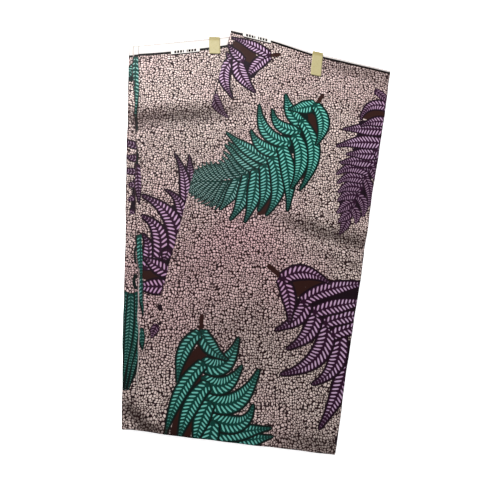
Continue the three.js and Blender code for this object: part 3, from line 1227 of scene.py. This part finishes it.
@dataclass(frozen=True)
class PrintedCotton:
    """Crisp waxed cotton: pebble ground, fern fronds, border line and plain selvedge."""

    ground: Ground = Ground()
    brown: Colour = (35, 14, 9)
    white: Colour = (180, 177, 172)
    line: Colour = (9, 5, 5)
    # colour of the painted shade along creases, corners and rolled edges
    painted_shade: Colour = (24, 11, 9)
    rosy: Colour = (246, 222, 234)
    thread: Colour = (176, 168, 162)
    shadow: Colour = (38, 24, 27)
    roughness: float = 0.5
    border: tuple[float, float] = (-2.4, 2.0)  # heights about the border line, in millimetres
    label_line: tuple[float, float] = (-5.4, -2.9)
    mark_heights: tuple[float, float] = (-2.2, 2.6)
    label: tuple[float, float] = (-0.3, 44.9)  # its two ends, along the border line
    mark_pitch: float = 4.4
    slant: float = 0.54
    margin: float = 2.7
    bleed: float = 1.5
    dash_middle: float = 0.53
    dash_reach: float = 0.43
    dash_thickness: tuple[float, float] = (0.1, 0.23)

    def blade(self, desk: Desk, layer: int, below: Signal) -> Signal:
        """Paints one layer of blades over a colour.

        Across a leaflet, share is the way from midrib to dark margin. Along it, turn is the
        fraction of (along - slant * away) / pitch, less a half. A dash lies where |turn| is under
        thickness * (1 - ((share - middle) / reach)^4). Narrow leaflets have thinner, dimmer
        dashes. The dashes of a faded leaflet keep their thickness, run over its margin and leave
        next to no dark rim.

        Args:
            desk: the material in the making.
            layer: number of the layer, lowest first.
            below: colour under the blades.

        Returns:
            The colour with the blades over it.
        """
        along, aside, half = desk.parts(desk.attribute(f"blade_{layer}"))
        dye, pitch, fade = desk.parts(desk.attribute(f"tint_{layer}"))
        away = abs(aside)
        inside = half - away
        bleed = fade * self.bleed
        share = away / (half + bleed - self.margin).most(0.3)
        turn = ((along - away * self.slant) / pitch.most(1.0)).fraction() - 0.5
        square = (share - self.dash_middle) / self.dash_reach
        square = square * square
        lens = 1.0 - square * square
        broad = half.rise(3.5, 10.0).most(fade)
        thin, thick = self.dash_thickness
        dash = (lens.most(0.0) * (thin + broad * (thick - thin)) - abs(turn)).rise(-0.03, 0.06)
        dash = dash * lens.rise(0.0, 0.25) * (0.4 + broad * 0.6)
        dash = dash * pitch.rise(0.5, 1.0) * along.rise(0.05, 0.6)
        purple = dye.rise(0.4, 0.6)
        bright, dull, base, edge = (
            desk.mix(purple, teal, other) for teal, other in zip(astuple(TEAL_INK), astuple(PURPLE_INK))
        )
        rim = (inside + bleed).rise(3.3, 1.8).most(fade * 0.3).most(pitch.rise(1.0, 0.5))
        dashed = desk.mix(dash, desk.mix(rim, base, edge), desk.mix(fade, bright, dull))
        whole = desk.mix(dye.rise(1.4, 1.6), dashed, self.brown)
        return desk.mix(inside.rise(-0.05, 0.35), below, whole)

    def hem(self, desk: Desk, colour: Signal) -> Signal:
        """Paints the border line, the plain selvedge and the label box over a colour.

        Args:
            desk: the material in the making.
            colour: the printed cloth.

        Returns:
            The colour with the hem.
        """
        along, above, _ = desk.parts(desk.attribute("hem"))
        selvedge = desk.mix(above.rise(0.9, 1.6), colour, self.white)
        lined = desk.mix(above.within(*self.border, 0.4), selvedge, self.line)
        box = desk.mix(above.rise(-3.3, -2.9), colour, self.white)
        box = desk.mix(above.within(*self.label_line, 0.4), box, self.line)
        marks = abs((along / self.mark_pitch).fraction() - 0.5).rise(0.4, 0.32)
        marks = marks * above.within(*self.mark_heights, 0.4)
        halves = abs(along - 22.0).rise(2.0, 2.4) * along.within(4.5, 40.5, 0.5)
        box = desk.mix(marks * halves, box, self.line)
        return desk.mix(along.within(*self.label, 0.6), lined, box)

    def fray(self, desk: Desk, place: Signal, colour: Signal) -> Signal:
        """Paints a ragged raw edge over a colour: painted shadow along it, with pale threads towards the
        table's end.

        Args:
            desk: the material in the making.
            place: cloth millimetres.
            colour: the printed cloth.

        Returns:
            The colour with the raw edge.
        """
        raw, _, _ = desk.parts(desk.attribute("raw"))
        ragged = (raw + desk.noise(place, 0.16) * 1.6 - 0.8).rise(0.4, 0.75)
        _, up, _ = desk.parts(place)
        # painted shadow in the crevice beside the raw edge, from about 230 to 532 mm up; pale threads
        # elsewhere
        dark = up.rise(175.0, 230.0) * up.rise(538.0, 532.0)
        return desk.mix(ragged * 0.85, colour, desk.mix(dark, self.thread, self.shadow))

    def make(self) -> bpy.types.Material:
        """Builds the material."""
        desk = Desk("printed cotton")
        place = desk.place()
        colour = self.ground.paint(desk, place)
        for layer in range(LAYERS):
            colour = self.blade(desk, layer, colour)
        colour = self.fray(desk, place, self.hem(desk, colour))
        # tone: painted shade depth, distance to the ply's edge, rosy share
        depth, edge, glow = desk.parts(desk.attribute("tone"))
        patches = desk.noise(place, 0.009, 2.0).rise(0.4, 0.65)
        colour = desk.mix(glow * 0.75 + patches * 0.3, colour, self.rosy, "MULTIPLY")
        # painted shade: darker along creases and corners, and within 2.4 mm of a ply's edge
        colour = desk.mix(depth.most(edge.rise(2.4, 0.0) * 0.45), colour, self.painted_shade)
        return desk.finish(
            Base_Color=colour,
            Roughness=self.roughness + (desk.noise(place, 0.05) - 0.5) * 0.12,
            Specular_IOR_Level=0.06,
            Normal=weave_bump(desk, place),
        )


THREAD = 0.36  # width of a thread in millimetres


def weave_bump(desk: Desk, place: Signal) -> Signal:
    """Plain weave of fine threads, sin x times sin y, and a faint crinkle, as a normal."""
    x, y, _ = desk.parts(place)
    threads = (x * (math.pi / THREAD)).sine() * (y * (math.pi / THREAD)).sine()
    return desk.bump(threads * 0.03 + desk.noise(place, 0.06, 3.0) * 0.9)


@dataclass(frozen=True)
class FoldEdges:
    """The same cotton where only its folded edges show, and its white selvedges at one end."""

    ground: Ground = Ground()
    white: Colour = (228, 225, 220)
    fold_gap_shade: Colour = (60, 50, 48)
    teal: Colour = (12, 78, 66)
    purple: Colour = (70, 40, 78)

    def make(self) -> bpy.types.Material:
        """Builds the material."""
        desk = Desk("fold edges")
        along, fold, end = desk.parts(desk.attribute("edge"))
        number = desk.math("FLOOR", fold * 0.999)
        part = (fold * 0.9999).fraction()
        colour = self.ground.paint(desk, desk.vector(along, number * 41.0 + part * 1.6))
        tint = desk.noise(desk.vector(along * 0.03, number * 7.3), 1.0, 1.0)
        colour = desk.mix(tint.rise(0.56, 0.6), colour, self.teal)
        colour = desk.mix(tint.rise(0.42, 0.38), colour, self.purple)
        colour = desk.mix(end, colour, self.white)
        # painted shade in the creases where one fold meets the next
        colour = desk.mix(abs(part - 0.5).rise(0.3, 0.5) * 0.7, colour, self.fold_gap_shade)
        flat = desk.place()
        colour = desk.mix(fold.rise(0.0, 0.02), self.ground.paint(desk, flat), colour)
        return desk.finish(Base_Color=colour, Roughness=0.8, Specular_IOR_Level=0.02,
                           Normal=weave_bump(desk, flat))


@dataclass(frozen=True)
class Foil:
    """Pale gold foil paper with a darker band at its upper end and faint embossed bars."""

    gold: Colour = (138, 130, 94)
    deep: Colour = (114, 102, 56)
    bar_pitch: float = 3.2

    def make(self) -> bpy.types.Material:
        """Builds the material."""
        desk = Desk("foil paper")
        place = desk.place()
        _, down, _ = desk.parts(place)
        fleck = desk.noise(place, 0.35, 3.0)
        colour = desk.mix(down.rise(9.0, 4.0) * 0.7, self.gold, self.deep)
        colour = desk.mix(fleck.rise(0.45, 0.8) * 0.35, colour, self.deep)
        height = fleck * 0.4 + (down * (2 * math.pi / self.bar_pitch)).sine() * 0.04
        return desk.finish(Base_Color=colour, Roughness=0.55, Specular_IOR_Level=0.2,
                           Normal=desk.bump(height))


# ---- The object ---------------------------------------------------------------------------


@dataclass(frozen=True)
class Finishes:
    """The cloth's materials: printed cotton, the same at its folded edges, and foil paper."""

    cotton: bpy.types.Material
    edges: bpy.types.Material
    foil: bpy.types.Material


def even(width: float, step: float) -> np.ndarray:
    """Column places at an even step."""
    return np.linspace(0.0, width, round(width / step) + 1)


def dense_left(width: float, dense: float, step: float) -> np.ndarray:
    """Column places close together on the left, which shows, and wide apart on the rest."""
    return np.concatenate([np.arange(0.0, dense, step), np.linspace(dense, width, 12)])


@dataclass(frozen=True)
class LowerPacket:
    """The packet below: hidden folds, three plies fanned a little at the left, and a sticker."""

    folds: float = 6.0
    outer: float = 7.3
    middle: float = 8.6
    top: float = 9.9

    def make(self, finishes: Finishes) -> None:
        """Builds the packet from the table upwards.

        Args:
            finishes: the cloth's materials.
        """
        outer = Plan(((-6.5, -1.5), (172, 0), (149, 586), (-29, 553)), seed=0.3)
        middle = Plan(((16, 0.5), (171, 1), (149.5, 584.5), (-22, 552)), (1.3, 0.3, 0.3, 0.3), 2.1)
        top = Plan(((24.5, 1), (170, 2), (150, 583), (-14.8, 552)), (0.4, 0.3, 0.3, 0.3), 4.2)
        FoldPile("lower_pile", "lower_folds", outer, LIE.lower(self.folds), lambda x, y: 0.0 * x,
                 folds=6, seed=11).make(finishes.edges)
        Ply("outer_ply", "lower_outer_ply", outer, LIE.lower(self.outer), LOWER_HEM, outer_print(),
            (0.178, 0.57), dense_left(178, 34, 1.6)).make(finishes.cotton)
        Ply("middle_ply", "lower_middle_ply", middle, LIE.lower(self.middle), LOWER_HEM, middle_print(),
            (0.163, 0.57), dense_left(163, 14, 1.2), roll=(0.1, 0.5, 0.4, 0.0),
            raw_left=True).make(finishes.cotton)
        Ply("top_ply", "lower_top_ply", top, LIE.lower(self.top), LOWER_HEM, lower_print(),
            (0.158, 0.57), even(158, 2.0)).make(finishes.cotton)
        Sticker("lower_foil", "lower_sticker", (102, 576.5), turn=2, length=30,
                level=LIE.lower(self.top)).make(finishes.foil)


@dataclass(frozen=True)
class UpperPacket:
    """The packet on top, turned a little clockwise and coming down to the table on its right."""

    folds: float = 15.2
    top: float = 16.5

    def make(self, finishes: Finishes) -> None:
        """Builds the packet from its folds upwards.

        Args:
            finishes: the cloth's materials.
        """
        plan = Plan(((0, 0), (267, -34.5), (386.5, 538.5), (128, 589)), (0.35, 0.4, 0.4, 0.25), 5.5)
        FoldPile("upper_pile", "upper_folds", plan, LIE.upper(self.folds), LIE.upper_underside,
                 folds=5, seed=23).make(finishes.edges)
        Ply("cover_ply", "upper_top_ply", plan, LIE.upper(self.top), UPPER_HEM, upper_print(),
            (0.267, 0.59), even(267, 1.8), row_step=1.8, thickness=1.3,
            roll=(0.7, 0.6, 0.8, 0.0)).make(finishes.cotton)
        Sticker("upper_foil", "upper_sticker", (267.5, 564), turn=-7.5, length=44,
                level=LIE.upper(self.top)).make(finishes.foil)


# ---- Studio -------------------------------------------------------------------------------


@dataclass(frozen=True)
class Studio:
    """Pale floor, soft light and the camera above the cloth, in metres and degrees."""

    place: tuple[float, float, float] = (-0.0990, -0.2109, 0.6864)
    tilt: float = 14.6
    pan: float = -5.8
    focal_share: float = 500.0 / 488.0

    def floor(self) -> None:
        """A wide pale plane just under the cloth, which glows a little."""
        bpy.ops.mesh.primitive_plane_add(size=6.0, location=(0, 0, -0.0003))
        plane = bpy.context.object
        plane.name = "floor"
        desk = Desk("floor")
        plane.data.materials.append(desk.finish(Base_Color=(0.93, 0.93, 0.94, 1.0), Roughness=0.9,
                                                Specular_IOR_Level=0.1, Emission_Color=(1.0, 1.0, 1.0, 1.0),
                                                Emission_Strength=0.65))

    def light(self) -> None:
        """A soft lamp beyond the selvedges, a weaker one opposite, and a pale world, brighter ahead."""
        world = bpy.data.worlds.new("studio")
        bpy.context.scene.world = world
        world.use_nodes = True
        desk = Desk("studio", world)
        _, ahead, _ = desk.parts(desk.add("ShaderNodeTexCoord", {}, {}, "Generated"))
        strength = 0.45 + ahead.rise(-0.2, 0.9) * 0.9
        sky = desk.add("ShaderNodeBackground", {}, {"Color": (0.97, 0.98, 1.0, 1.0), "Strength": strength})
        output = world.node_tree.nodes.new("ShaderNodeOutputWorld")
        world.node_tree.links.new(sky.socket, output.inputs["Surface"])
        for name, place, energy, size in (
            ("key", (-0.3, 0.86, 0.8), 25.0, 0.5),
            ("fill", (0.3, -0.9, 2.2), 4.0, 1.6),
        ):
            lamp = bpy.data.lights.new(name, "AREA")
            lamp.energy = energy
            lamp.size = size
            thing = bpy.data.objects.new(name, lamp)
            thing.location = place
            thing.rotation_euler = (Vector((0, 0.1, 0)) - Vector(place)).to_track_quat("-Z", "Y").to_euler()
            bpy.context.scene.collection.objects.link(thing)

    def camera(self) -> None:
        """The camera at the cloth's viewing angle: tilted up the packets and panned a little."""
        lens = bpy.data.cameras.new("camera")
        lens.sensor_width = 36.0
        lens.sensor_fit = "HORIZONTAL"
        lens.lens = 36.0 * self.focal_share
        lens.clip_end = 20.0
        thing = bpy.data.objects.new("camera", lens)
        pan = Matrix.Rotation(math.radians(self.pan), 4, "Y")
        tilt = Matrix.Rotation(math.radians(self.tilt), 4, "X")
        thing.matrix_world = Matrix.Translation(Vector(self.place)) @ pan @ tilt
        bpy.context.scene.collection.objects.link(thing)
        bpy.context.scene.camera = thing
        bpy.context.scene.view_settings.view_transform = "Standard"

    def make(self) -> None:
        """Builds the studio."""
        self.camera()
        self.light()
        self.floor()


def corners(box: tuple[Vector, Vector]) -> list[list[float]]:
    """A box as plain lists."""
    return [list(map(float, corner)) for corner in box]


def main() -> None:
    """Builds the studio, the finishes and both packets; each piece logs its face count."""
    logging.basicConfig(level=logging.INFO, format="%(name)s: %(message)s")
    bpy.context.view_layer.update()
    Studio().make()
    finishes = Finishes(PrintedCotton().make(), FoldEdges().make(), Foil().make())
    LowerPacket().make(finishes)
    UpperPacket().make(finishes)


if __name__ == "__main__":
    main()
